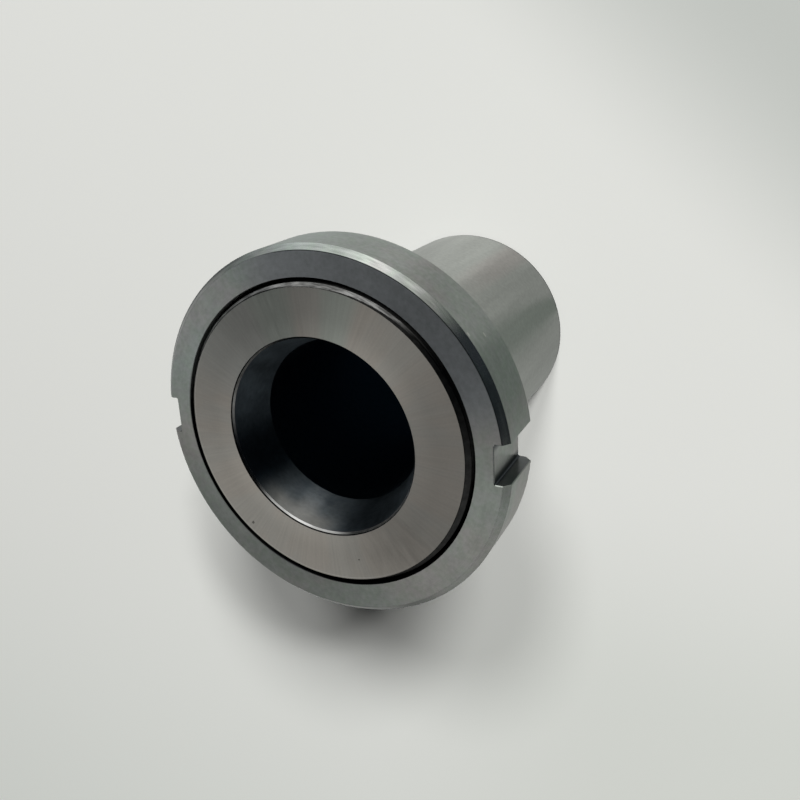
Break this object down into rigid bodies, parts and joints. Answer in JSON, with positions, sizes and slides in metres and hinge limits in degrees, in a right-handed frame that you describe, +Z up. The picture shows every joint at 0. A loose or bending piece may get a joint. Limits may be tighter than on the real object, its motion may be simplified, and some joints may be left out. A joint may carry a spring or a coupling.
{
  "type": "reducing_sleeve",
  "caption": "Turned steel reducing sleeve with a conical collet seat, a plain shank and a slotted ring nut on its threaded head.",
  "frame": {"origin": "centre of the plain end of the tube, on which the sleeve stands", "axes": "+Z runs up the bore from the tube's end to the mouth of the seat; the ring nut's two slots lie on +X and -X"},
  "size_m": [0.0914, 0.092, 0.0975],
  "materials": {
    "sleeve_steel": "ground and turned, satin",
    "ring_nut_steel": "fine turned, satin, with bright chamfers"
  },
  "bodies": {
    "sleeve": {"sleeve": "sleeve_steel"},
    "ring_nut": {"ring_nut": "ring_nut_steel"}
  },
  "joints": [
    {"name": "ring_nut_turn", "type": "hinge", "parent": "sleeve", "child": "ring_nut", "pos_m": [0, 0, 0.08855], "axis": [0, 0, 1], "continuous": true}
  ]
}
